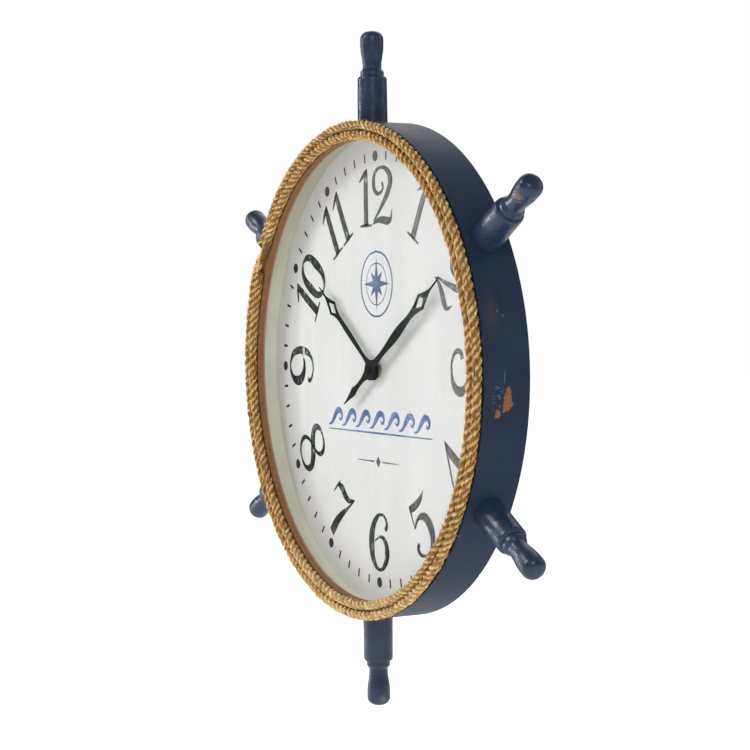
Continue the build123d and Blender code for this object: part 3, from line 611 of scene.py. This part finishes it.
def pressed_board():
    """Fibreboard behind the dial: felted brown fibres."""
    board = Finish("pressed_board", rough=0.85)
    felt = board.grain(0.0022, 6, lumps=0.7)
    blotch = board.grain(0.03, 3, seed=4.0)
    tone = board.mixed(board.between(felt, 0.35, 0.65), (0.20, 0.125, 0.07), (0.36, 0.25, 0.15))
    board.colour(board.mixed(board.between(blotch, 0.4, 0.7, 0, 0.4), tone, (0.24, 0.15, 0.085)))
    board.rough(board.between(felt, 0.3, 0.7, 0.78, 0.92))
    board.bump((felt, 0.00025))
    return board.material


def copper_winding():
    """Fine enamelled wire laid round the coil."""
    wire = Finish("copper_winding", metal=1.0, rough=0.3)
    inputs = {"Vector": wire.place, "Scale": 900.0, "Distortion": 0.4}
    height = wire.node("TexWave", inputs, bands_direction="Z").outputs["Fac"]
    wire.colour(wire.mixed(height, (0.20, 0.05, 0.015), (0.62, 0.22, 0.09)))
    wire.rough(wire.between(height, 0, 1, 0.5, 0.3))
    wire.bump((height, 0.00008))
    return wire.material


def circuit_green():
    """Green lacquer over woven glass."""
    board = Finish("board_green", rough=0.4)
    weave = board.grain(0.0008, 3)
    share = board.between(weave, 0.35, 0.65)
    board.colour(board.mixed(share, (0.010, 0.075, 0.030), (0.020, 0.12, 0.05)))
    board.rough(board.between(weave, 0.3, 0.7, 0.35, 0.5))
    board.bump((weave, 0.00003))
    return board.material


def cell_jacket():
    """Plain battery jacket: dark sleeve with a grey band at the positive end and bright ends."""
    jacket = Finish("cell_jacket", rough=0.3, coat=0.4, coat_rough=0.12)
    low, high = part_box("battery")
    x = jacket.parts()[0]
    band = jacket.between(x, high.x - 0.0142, high.x - 0.0138)
    ends = jacket.either(
        jacket.between(x, high.x - 0.0024, high.x - 0.0022),
        jacket.between(x, low.x + 0.0010, low.x + 0.0008),
    )
    cloud = jacket.grain(0.008, 4)
    tone = jacket.mixed(band, (0.010, 0.011, 0.013), (0.30, 0.30, 0.31))
    tone = jacket.mixed(ends, tone, (0.62, 0.61, 0.58))
    jacket.colour(jacket.mixed(jacket.between(cloud, 0.45, 0.7, 0, 0.25), tone, (0.10, 0.10, 0.10)))
    jacket.feed("Metallic", ends)
    jacket.rough(jacket.between(cloud, 0.3, 0.7, 0.22, 0.36))
    jacket.bump((cloud, 0.00003))
    return jacket.material


# Numerals, drawn with a flat pen. A stroke is a list of (across, up, half width) in millimetres.

ONE = [
    [(2.4, 53.5, 0.8), (0.7, 48, 3.1), (0, 40, 4.0), (0.2, 2.4, 4.2)],
    [(-12.2, 42.6, 0.8), (-7.5, 46.3, 1.9), (-2.0, 50.0, 2.5), (2.6, 54.2, 0.4)],
    [(-11, 2.2, 1.0), (0.2, 2.4, 1.6), (11, 2.2, 1.0)],
]
TWO = [
    [(-0.7, 40, 1.7), (0.9, 35, 1.6), (-5.4, 30.3, 1.5), (-13.6, 32.8, 2.6), (-16.6, 40.6, 3.2),
     (-13.6, 49.0, 2.2), (-3.2, 53.2, 1.2), (9.5, 49.6, 2.8), (14.8, 41.6, 4.2), (11.6, 32.8, 3.7),
     (-1.6, 18.7, 2.4), (-16.6, 6.0, 0.9)],
    [(-18.6, 3.0, 0.7), (-11, 5.8, 2.1), (-1, 6.2, 3.4), (9, 5.0, 3.8), (14.4, 6.0, 2.4),
     (17.6, 15, 0.4)],
]
THREE = [
    [(-13, 42, 2.8), (-10.5, 49, 1.9), (0, 53, 1.3), (10.5, 48.5, 3.2), (12.3, 40.5, 4.2), (7, 32, 2.6),
     (-2.5, 28.6, 0.8)],
    [(-2.5, 28.6, 0.7), (8, 27.0, 2.2), (15.0, 17.5, 4.5), (10.5, 7, 3.6), (-1, 2.9, 1.6),
     (-12, 4.3, 1.7), (-18.8, 11.5, 2.2), (-17.4, 18.5, 2.6), (-12.5, 20.5, 2.7)],
]
FOUR = [
    [(9.6, 51, 0.8), (0, 39.3, 1.4), (-12, 25, 1.4), (-19, 15.5, 1.1)],
    [(-19.5, 14.5, 1.2), (-3, 14.5, 1.3), (17.5, 14.5, 1.3)],
    [(9.5, 52, 0.6), (7.5, 45, 2.7), (5.9, 37, 4.3), (5.8, 20, 4.4), (5.8, 2.2, 4.4)],
    [(-5.0, 2.0, 1.0), (5.8, 2.2, 1.5), (16.5, 2.0, 1.0)],
]
FIVE = [
    [(-11.2, 30, 1.0), (-10.9, 40, 1.1), (-11.0, 51, 1.0)],
    [(-11.6, 48.9, 3.0), (-4, 47.7, 3.8), (5, 48, 3.5), (12, 49.6, 2.4), (18.5, 53.4, 0.6)],
    [(-11.2, 30.2, 1.0), (-4, 35.0, 1.7), (4, 35.2, 2.9), (11.3, 29.8, 4.6), (14.5, 19, 5.2),
     (11, 7, 3.8), (1, 1.5, 1.5), (-9, 3.4, 1.4), (-14.9, 9.5, 2.2), (-14.2, 14.0, 2.5),
     (-10.6, 15.4, 2.0)],
]
SIX = [
    [(11.4, 38.2, 2.2), (14.6, 41.4, 2.5), (12.4, 48.6, 1.6), (4, 51.7, 1.3), (-6.5, 46.0, 3.2),
     (-13.4, 33, 5.0), (-14.2, 21, 5.2), (-10.6, 8.6, 3.7), (0.5, 1.2, 1.4), (11.2, 7.5, 3.1),
     (15.0, 17.5, 4.4), (11.6, 27.8, 3.0), (3, 31.4, 1.4), (-8, 26.8, 0.8)],
]
SEVEN = [
    [(-19.0, 36.5, 0.5), (-16.2, 44, 1.4), (-12.5, 53, 0.7)],
    [(-15.5, 47.6, 1.5), (-7, 48.8, 3.8), (3, 46.2, 3.9), (11, 46.4, 2.8), (20.4, 52.8, 0.7)],
    [(20.6, 53.0, 0.6), (12.8, 39, 1.6), (5, 26, 3.5), (-1, 12, 4.8), (-4.0, -0.4, 5.0)],
]
EIGHT = [
    [(0, 53, 1.2), (-9.6, 49.6, 2.6), (-13.2, 41.4, 3.8), (-8.3, 33.7, 4.6), (0, 28.7, 4.8),
     (10.0, 22.8, 4.8), (15.2, 14, 3.9), (10.4, 4.2, 2.3), (-0.5, 0.8, 1.4), (-11.8, 4.4, 2.1),
     (-16.4, 13, 2.6), (-12.4, 22.5, 1.9), (-1, 28.7, 1.3), (10.8, 35, 1.8), (14.2, 42.8, 2.8),
     (10.2, 50, 2.3), (0, 53, 1.2)],
]
NINE = [
    [(12.2, 25.4, 0.8), (2.2, 21.6, 2.4), (-9.8, 26.2, 4.6), (-14.0, 36.5, 4.9), (-9.2, 49.0, 2.8),
     (0.5, 53.0, 1.3), (10.6, 48.4, 2.8), (15.4, 37.5, 3.8), (16.0, 26.6, 4.0), (14.4, 15.6, 3.4),
     (9.5, 6.9, 2.2), (1, 2.6, 1.3), (-8.3, 4.6, 1.4), (-13.4, 10.5, 2.3), (-11.0, 14.2, 2.2)],
]
NOUGHT = [
    [(0, 52.6, 1.3), (-9.2, 46.8, 3.2), (-12.9, 26.5, 4.9), (-9.2, 6.2, 3.2), (0, 0.8, 1.3),
     (9.2, 6.2, 3.2), (12.9, 26.5, 4.9), (9.2, 46.8, 3.2), (0, 52.6, 1.3)],
]


def pen_nib():
    """The pen's flat nib, a line of half width 1 that is swept along the strokes."""
    curve = bpy.data.curves.new("nib", "CURVE")
    curve.dimensions = "2D"
    line = curve.splines.new("POLY")
    line.points.add(1)
    line.points[0].co = (-1, 0, 0, 1)
    line.points[1].co = (1, 0, 0, 1)
    nib = bpy.data.objects.new("nib", curve)
    bpy.context.scene.collection.objects.link(nib)
    return nib


def written(strokes, nib):
    """The strokes as one flat mesh, still in millimetres on the page's x and y."""
    curve = bpy.data.curves.new("stroke", "CURVE")
    curve.dimensions = "2D"
    curve.bevel_mode = "OBJECT"
    curve.bevel_object = nib
    curve.resolution_u = PEN_SMOOTHNESS
    for stroke in strokes:
        line = curve.splines.new("BEZIER")
        line.bezier_points.add(len(stroke) - 1)
        for point, (across, up, half) in zip(line.bezier_points, stroke):
            point.co = (across, up, 0)
            point.radius = half
            point.handle_left_type = point.handle_right_type = "AUTO"
    return finished_mesh(curve)


def dial_place(across, up, turn, lift):
    """From the page, in millimetres, to the dial: turned clockwise and lifted off its face."""
    page = Matrix(((1, 0, 0, 0), (0, 0, 1, 0), (0, 1, 0, 0), (0, 0, 0, 1)))
    return (
        Matrix.Translation((across * MM, dial_face - lift, up * MM))
        @ Matrix.Rotation(radians(turn), 4, "Y")
        @ Matrix.Scale(MM, 4)
        @ page
    )


def ink_film(name, drawings, finish):
    """Flat drawings joined and given the thickness of printed ink."""
    work = bmesh.new()
    for drawing in drawings:
        work.from_mesh(drawing)
    bmesh.ops.remove_doubles(work, verts=work.verts, dist=MERGE_DISTANCE)
    bmesh.ops.recalc_face_normals(work, faces=work.faces)
    for face in work.faces:
        if face.normal.y > 0:
            face.normal_flip()
    bmesh.ops.solidify(work, geom=work.faces[:], thickness=INK_THICKNESS)
    mesh = bpy.data.meshes.new(name)
    work.to_mesh(mesh)
    work.free()
    mesh.materials.append(finish)
    add_piece(name, mesh, "case")


def print_numerals(nib, ink):
    """Big numerals; those on the lower half stand with their feet outward."""
    feet_out = {4, 5, 6, 7, 8}
    drawn = {
        1: [ONE], 2: [TWO], 3: [THREE], 4: [FOUR], 5: [FIVE], 6: [SIX], 7: [SEVEN], 8: [EIGHT],
        9: [NINE], 10: [ONE, NOUGHT], 11: [ONE, ONE], 12: [ONE, TWO],
    }
    spread = {10: (-14.0, 11.8), 11: (-11.5, 13.2), 12: (-18.6, 13.0)}
    foot_radius, tall, one_further_out = 129.0, 54.0, 3.7
    meshes = []
    for hour, glyphs in drawn.items():
        turned = hour * 30 + (180 if hour in feet_out else 0)
        start = -(foot_radius + tall) if hour in feet_out else foot_radius
        if hour == 1:
            start += one_further_out
        for glyph, across in zip(glyphs, spread.get(hour, (0.0,))):
            mesh = written(glyph, nib)
            mesh.transform(dial_place(0, 0, turned, INK_LIFT) @ Matrix.Translation((across, start, 0)))
            meshes.append(mesh)
    ink_film("dial_numerals", meshes, ink)


def print_minute_track(ink):
    """Thin dashes for the minutes, with a dot for each hour."""
    dash_track, dash_width, dash_length = 0.1933, 0.0025, 0.0080
    dot_radius = 0.00475
    facing_out = Matrix.Rotation(pi / 2, 4, "X")
    work = bmesh.new()
    for minute in range(60):
        turn = Matrix.Rotation(radians(minute * 6), 4, "Y")
        if minute % 5:
            place = turn @ Matrix.Translation((0, dial_face - INK_LIFT, dash_track))
            place = place @ Matrix.Diagonal((dash_width, 1, dash_length, 1)) @ facing_out
            bmesh.ops.create_grid(work, x_segments=1, y_segments=1, size=0.5, matrix=place)
        else:
            place = turn @ Matrix.Translation((0, dial_face - INK_LIFT, DOT_TRACK)) @ facing_out
            bmesh.ops.create_circle(work, cap_ends=True, segments=28, radius=dot_radius, matrix=place)
    mesh = bpy.data.meshes.new("track")
    work.to_mesh(mesh)
    work.free()
    ink_film("minute_track", [mesh], ink)


def print_wind_star(nib, blue, grey):
    """A plain compass star in two rings, above the hands; each point is half blue, half grey."""
    star_height = 78
    long, short, waist = 24.5, 15.5, 7.4
    halves = {blue: bmesh.new(), grey: bmesh.new()}
    for point in range(8):
        reach = short if point % 2 else long
        turn = Matrix.Rotation(-radians(45 * point), 4, "Z")
        for side, finish in ((-1, blue), (1, grey)):
            bend = radians(22.5 * side)
            corners = [(0, 0, 0), (waist * sin(bend), waist * cos(bend), 0), (0, reach, 0)]
            work = halves[finish]
            work.faces.new([work.verts.new(turn @ Vector(corner)) for corner in corners])
    for finish, work in halves.items():
        star = bpy.data.meshes.new("star")
        work.to_mesh(star)
        work.free()
        drawn = [star]
        if finish is blue:
            rings = [
                [(radius * sin(radians(a)), radius * cos(radians(a)), half) for a in range(0, 361, 30)]
                for radius, half in ((29.5, 0.9), (19.0, 0.5))
            ]
            drawn.append(written(rings, nib))
        for mesh in drawn:
            mesh.transform(dial_place(0, star_height, 0, EMBLEM_LIFT))
        ink_film("wind_star_" + finish.name.split("_")[0], drawn, finish)


def print_waves(nib, blue, grey):
    """A row of rolling waves under the hands, and a short rule with a lozenge below it."""
    wave_height, wave_step, rule_height = -46.5, 27.5, -83.5
    wave = written([[
        (-16, -7, 0.5), (-10, -5.5, 1.5), (-4, 0.5, 2.7), (3, 6.6, 3.0),
        (9.4, 5.6, 2.4), (11.2, 0.8, 1.7), (7.6, -1.8, 1.2), (5.2, 0.6, 0.6),
    ]], nib)
    band = []
    for steps in range(-3, 4):
        copied = wave.copy()
        copied.transform(dial_place(steps * wave_step, wave_height, 0, EMBLEM_LIFT))
        band.append(copied)
    line = written([[(-98, -11, 0.5), (0, -11, 0.9), (98, -11, 0.5)]], nib)
    line.transform(dial_place(0, wave_height, 0, UNDERLINE_LIFT))
    ink_film("wave_band", band + [line], blue)
    rule = written([
        [(-39, 0, 0.35), (-8, 0, 0.8)],
        [(8, 0, 0.8), (39, 0, 0.35)],
        [(0, 5.2, 0.2), (0, 0, 4.4), (0, -5.2, 0.2)],
    ], nib)
    rule.transform(dial_place(0, rule_height, 0, EMBLEM_LIFT))
    ink_film("short_rule", [rule], grey)


# Rope

def rope_route():
    """The route's points, every 10 degrees: the outer turn from near 10 o'clock, then the inner."""
    step, inner_delay, end_gap = 10, 1.0, 0.4
    # The smooth line touches the chords' middles, so the points stand a little further out
    pull = 1 / cos(radians(step / 2))
    outer, inner = ROPE_TURN * pull, (ROPE_TURN - ROPE_STEP_IN) * pull
    second = ROPE_SEAM + 360
    points = [(ROPE_SEAM + step * i, outer) for i in range(36)]
    points.append((second - ROPE_CROSSING, ROPE_TURN))
    points += [(second + inner_delay + step * i, inner) for i in range(36)]
    points.append((second + 360 - ROPE_CROSSING - end_gap, inner))
    return [on_dial(angle, radius, ROPE_DEPTH) for angle, radius in points]


def rope_line():
    """The smooth line that the rope follows, as points about 2 mm apart."""
    curve = bpy.data.curves.new("route", "CURVE")
    curve.dimensions = "3D"
    curve.resolution_u = 20
    points = rope_route()
    line = curve.splines.new("NURBS")
    line.points.add(len(points) - 1)
    for place, point in zip(line.points, points):
        place.co = (*point, 1)
    line.order_u = 3
    line.use_endpoint_u = True
    mesh = finished_mesh(curve)
    return [v.co.copy() for v in mesh.vertices]


def frames_along(line):
    """Place, outward side, front side and distance from the start for each point of the line."""
    out = []
    gone = 0.0
    for i, place in enumerate(line):
        if i:
            gone += (place - line[i - 1]).length
        ahead = (line[min(i + 1, len(line) - 1)] - line[max(i - 1, 0)]).normalized()
        outward = Vector((place.x, 0, place.z)).normalized()
        outward = (outward - ahead * outward.dot(ahead)).normalized()
        out.append((place, outward, ahead.cross(outward), gone))
    return out


def tubes(name, runs, radius, sides=2, caps=True):
    """Round bars along runs of (x, y, z, share of the radius); sides is the bevel resolution."""
    curve = bpy.data.curves.new(name, "CURVE")
    curve.dimensions = "3D"
    curve.bevel_depth = radius
    curve.bevel_resolution = sides
    curve.use_fill_caps = caps
    for run in runs:
        line = curve.splines.new("POLY")
        line.points.add(len(run) - 1)
        for place, (x, y, z, thickness) in zip(line.points, run):
            place.co = (x, y, z, 1)
            place.radius = thickness
    return finished_mesh(curve)


def wobble(depth, rate, gone, start=0.0):
    """An uneven share of the given depth, with rate radians to each metre gone."""
    return depth * sin(gone * rate + start)


def twisted_yarns(steps, rng):
    """The runs of all yarns: strands twisted right-handed, each of left-handed yarns, a bit uneven."""
    strands, yarns = 3, 5
    strand_lay, yarn_lay = 0.0228, 0.0170
    strand_offset, yarn_offset = 0.00228, 0.00106
    drawn_in, thinned = 0.003, 0.004
    total = steps[-1][3]
    runs = []
    for strand in range(strands):
        for yarn in range(yarns):
            drift = [rng.uniform(0, 2 * pi) for _ in range(5)]
            run = []
            for place, outward, front, gone in steps:
                turn = (
                    2 * pi * (gone / strand_lay + strand / strands)
                    + wobble(0.22, 61, gone, strand * 1.3) + wobble(0.12, 233, gone)
                )
                inner = 2 * pi * (yarn / yarns - gone / yarn_lay) + wobble(0.5, 190, gone, drift[0])
                end = min(gone, total - gone)
                close = min(1.0, 0.5 + end / drawn_in)
                loose = 1 + wobble(0.07, 83, gone, strand * 2.1) + wobble(0.04, 421, gone, strand * 4)
                stray = 1 + wobble(0.12, 270, gone, drift[1]) + wobble(0.10, 810, gone, drift[2])
                thick = 1 + wobble(0.10, 350, gone, drift[3]) + wobble(0.08, 1130, gone, drift[4])
                to_strand = outward * cos(turn) + front * sin(turn)
                to_yarn = outward * cos(inner) + front * sin(inner)
                point = place + to_strand * strand_offset * loose * close
                point += to_yarn * yarn_offset * stray * close
                run.append((*point, thick * min(1.0, 0.55 + end / thinned)))
            runs.append(run)
    return runs


def stray_hairs(steps, rng):
    """Short bent hairs that stand out of the rope all along it."""
    hair_count, root_radius = 4200, 0.0038
    shortest, longest = 0.0016, 0.0058
    flattest, steepest = 0.08, 0.38
    hairs = []
    for _ in range(hair_count):
        place, outward, front = steps[rng.randrange(2, len(steps) - 2)][:3]
        ahead = outward.cross(front)
        side = rng.uniform(0, 2 * pi)
        away = outward * cos(side) + front * sin(side)
        across = ahead.cross(away)
        lean = (ahead * rng.uniform(-1, 1) + across * rng.uniform(-0.9, 0.9)).normalized()
        root = place + away * root_radius
        long = rng.uniform(shortest, longest)
        rise = rng.uniform(flattest, steepest)
        hairs.append([
            (*root, 1.0),
            (*(root + away * long * rise * 0.6 + lean * long * 0.4), 0.8),
            (*(root + away * long * rise + lean * long * 0.75), 0.6),
            (*(root + away * long * rise * rng.uniform(0.5, 1.2) + lean * long), 0.25),
        ])
    return hairs


def lay_rope(finish, hair_finish):
    """Strands of yarns round a soft heart, and the stray hairs that jute has."""
    yarn_radius, heart_radius, hair_radius = 0.00098, 0.0031, 0.00007
    line = rope_line()
    steps = frames_along(line)
    rng = random.Random(11)
    strand_mesh = tubes("rope_strands", twisted_yarns(steps, rng), yarn_radius, sides=0)
    heart_mesh = tubes("rope_heart", [[(*step[0], 1.0) for step in steps[2:-2]]], heart_radius)
    for mesh in (strand_mesh, heart_mesh):
        shade_smooth(mesh)
        mesh.materials.append(finish)
    rope = add_piece("rope_strands", strand_mesh, "case")
    heart = add_piece("rope_heart", heart_mesh, "case")
    hair_mesh = tubes("rope_hairs", stray_hairs(steps, rng), hair_radius, sides=0, caps=False)
    hair_mesh.materials.append(hair_finish)
    hair = add_piece("rope_hairs", hair_mesh, "case")
    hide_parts("rim_rope")


# The finish of each CAD piece

def dress(names, finish):
    """Gives the finish to CAD pieces, whose shapes stay as they are."""
    for name in names:
        node = nodes[name]
        node.data.materials.clear()
        node.data.materials.append(finish)


def finish_cad_pieces():
    zinc = plated("zinc_plate", (0.62, 0.62, 0.60), 0.36)
    brass = plated("brass", (0.58, 0.43, 0.20), 0.30)
    spring = plated("spring_steel", (0.60, 0.60, 0.62), 0.28)
    iron = plated("soft_iron", (0.42, 0.41, 0.40), 0.42)
    tin = plated("can_aluminium", (0.78, 0.78, 0.78), 0.25)
    black = hand_black()
    shell = moulded("black_plastic", (0.014, 0.014, 0.015), 0.48)
    white = moulded("white_plastic", (0.72, 0.71, 0.67), 0.40)
    rubber = moulded("black_rubber", (0.02, 0.02, 0.02), 0.75, 0.0004)
    pine = bare_timber("pine", (0.58, 0.38, 0.19), (0.36, 0.21, 0.09), across=(0.06, 1, 1))
    dress([f"handle_{hour}_oclock" for hour in (12, 2, 4, 6, 8, 10)], handle_paint())
    dress(["case_hoop"], case_paint())
    dress(["front_ring"], ring_stain())
    dress(["glass"], clear_pane())
    dress(["spacer_ring"], cream_wall())
    dress(["dial_print"], dial_paper())
    dress(["dial_board"], pressed_board())
    dress(["hanger_block"], pine)
    dress(["handle_screws", "board_clips", "clip_screws"], zinc)
    dress(["hanger_plate", "hanger_screws"], zinc)
    dress(["shaft_bushing", "bushing_nut", "dial_washer", "minute_arbor"], brass)
    dress(["contact_positive", "contact_negative"], spring)
    dress(["motor_stator"], iron)
    dress(["crystal_can"], tin)
    dress(["minute_hand", "hour_hand"], black)
    dress(["minute_hand_collet", "hour_hand_collet", "hand_tip_nut"], black)
    dress(["movement_case", "movement_cover"], shell)
    dress(["hour_wheel", "minute_wheel", "setting_knob"], white)
    dress(["centre_wheel", "third_wheel", "fourth_wheel", "first_wheel", "rotor"], white)
    dress(["dial_gasket"], rubber)
    dress(["motor_coil"], copper_winding())
    dress(["circuit_board"], circuit_green())
    dress(["battery"], cell_jacket())


set_camera()
set_studio()
lay_floor()
finish_cad_pieces()
lay_rope(jute(), jute_hair())
nib = pen_nib()
black_ink = (0.011, 0.0115, 0.012), (0.036, 0.037, 0.037)
print_numerals(nib, worn_ink("numeral_ink", *black_ink, wear=0.90, paling=0.95))
print_minute_track(worn_ink("track_ink", *black_ink, wear=1.04, paling=0.95))
blue_ink = worn_ink("blue_ink", (0.075, 0.13, 0.27), (0.13, 0.20, 0.36), wear=1.0)
grey_ink = worn_ink("grey_ink", (0.10, 0.12, 0.15), (0.17, 0.19, 0.22), wear=1.0)
print_wind_star(nib, blue_ink, grey_ink)
print_waves(nib, blue_ink, grey_ink)
bpy.data.objects.remove(nib)
